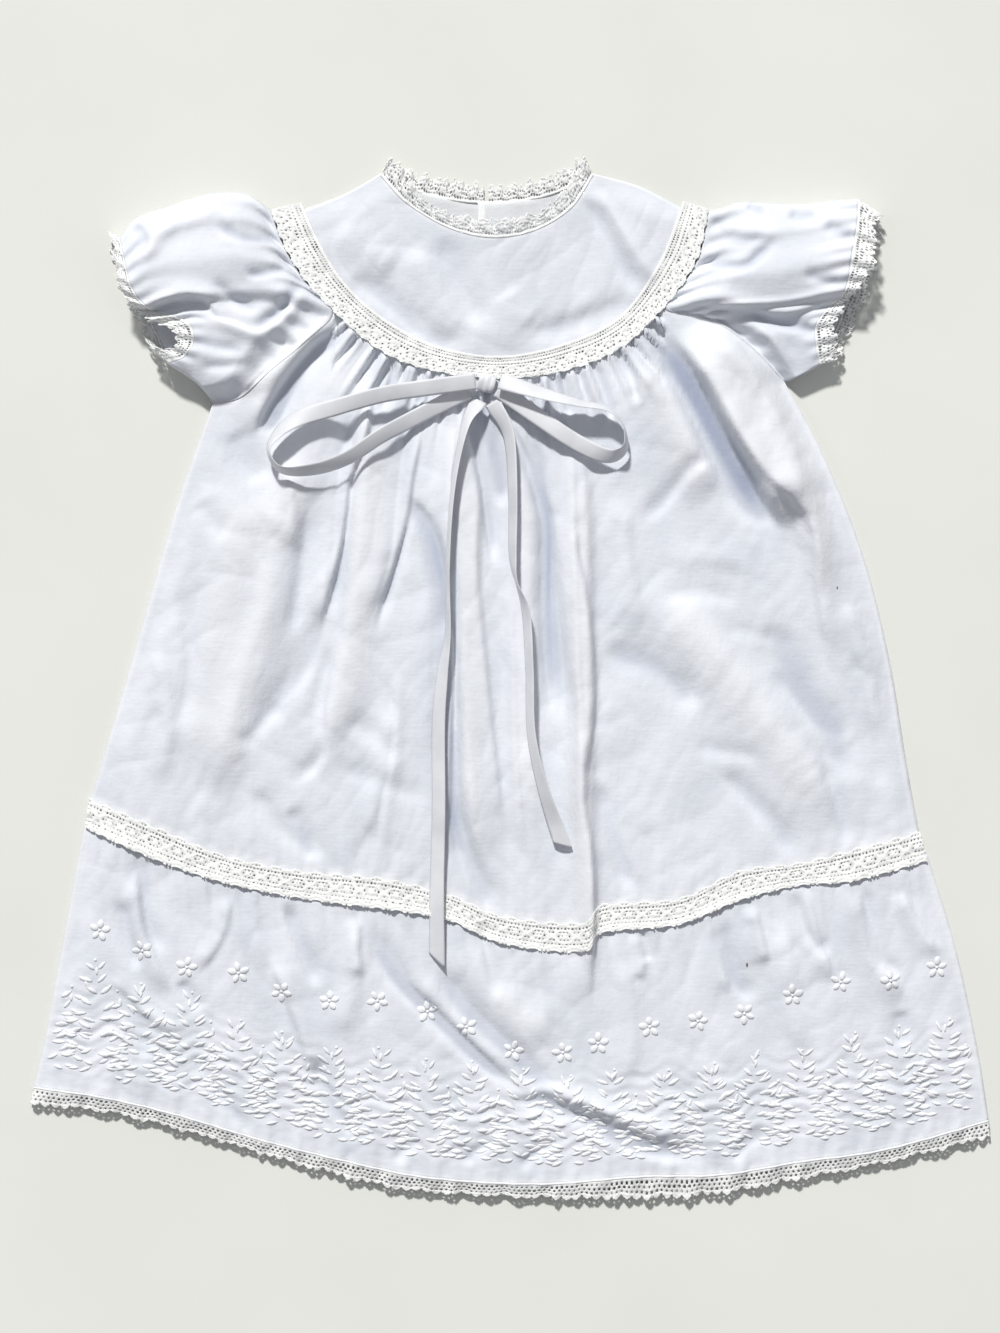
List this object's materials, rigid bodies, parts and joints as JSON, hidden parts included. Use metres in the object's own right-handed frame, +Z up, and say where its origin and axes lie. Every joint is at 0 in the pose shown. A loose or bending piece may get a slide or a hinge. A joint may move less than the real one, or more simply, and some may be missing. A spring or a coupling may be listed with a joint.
{
  "type": "christening gown",
  "caption": "Baby's short-sleeved batiste gown laid flat, round yoke with lace insertion, gathered skirt, lace-headed embroidered flounce, and a ribbon bow.",
  "frame": {"origin": "under the middle of the gown's outline, on the surface it lies on", "axes": "+Z up from the surface, +Y from the hem towards the neck, +X to the right of someone looking down at the front"},
  "size_m": [0.5187, 0.5632, 0.0228],
  "materials": {
    "batiste": "sheer white plain weave, soft, slightly crumpled",
    "lace": "warm white cotton lace on net",
    "ribbon": "white satin with a soft sheen"
  },
  "bodies": {
    "root": {"yoke_front": "batiste", "yoke_back_left": "batiste", "yoke_back_right": "batiste", "skirt_front": "batiste", "skirt_back": "batiste", "flounce_front": "batiste", "flounce_back": "batiste", "sleeve_left": "batiste", "sleeve_right": "batiste", "lace_neck_front": "lace", "lace_neck_back_left": "lace", "lace_neck_back_right": "lace", "lace_yoke_front": "lace", "lace_yoke_back": "lace", "lace_insertion_front": "lace", "lace_insertion_back": "lace", "lace_hem_front": "lace", "lace_hem_back": "lace", "lace_cuff_left": "lace", "lace_cuff_right": "lace", "bow_knot": "ribbon", "bow_loop_left": "ribbon", "bow_loop_right": "ribbon", "bow_tail_left": "ribbon", "bow_tail_right": "ribbon"}
  },
  "joints": []
}
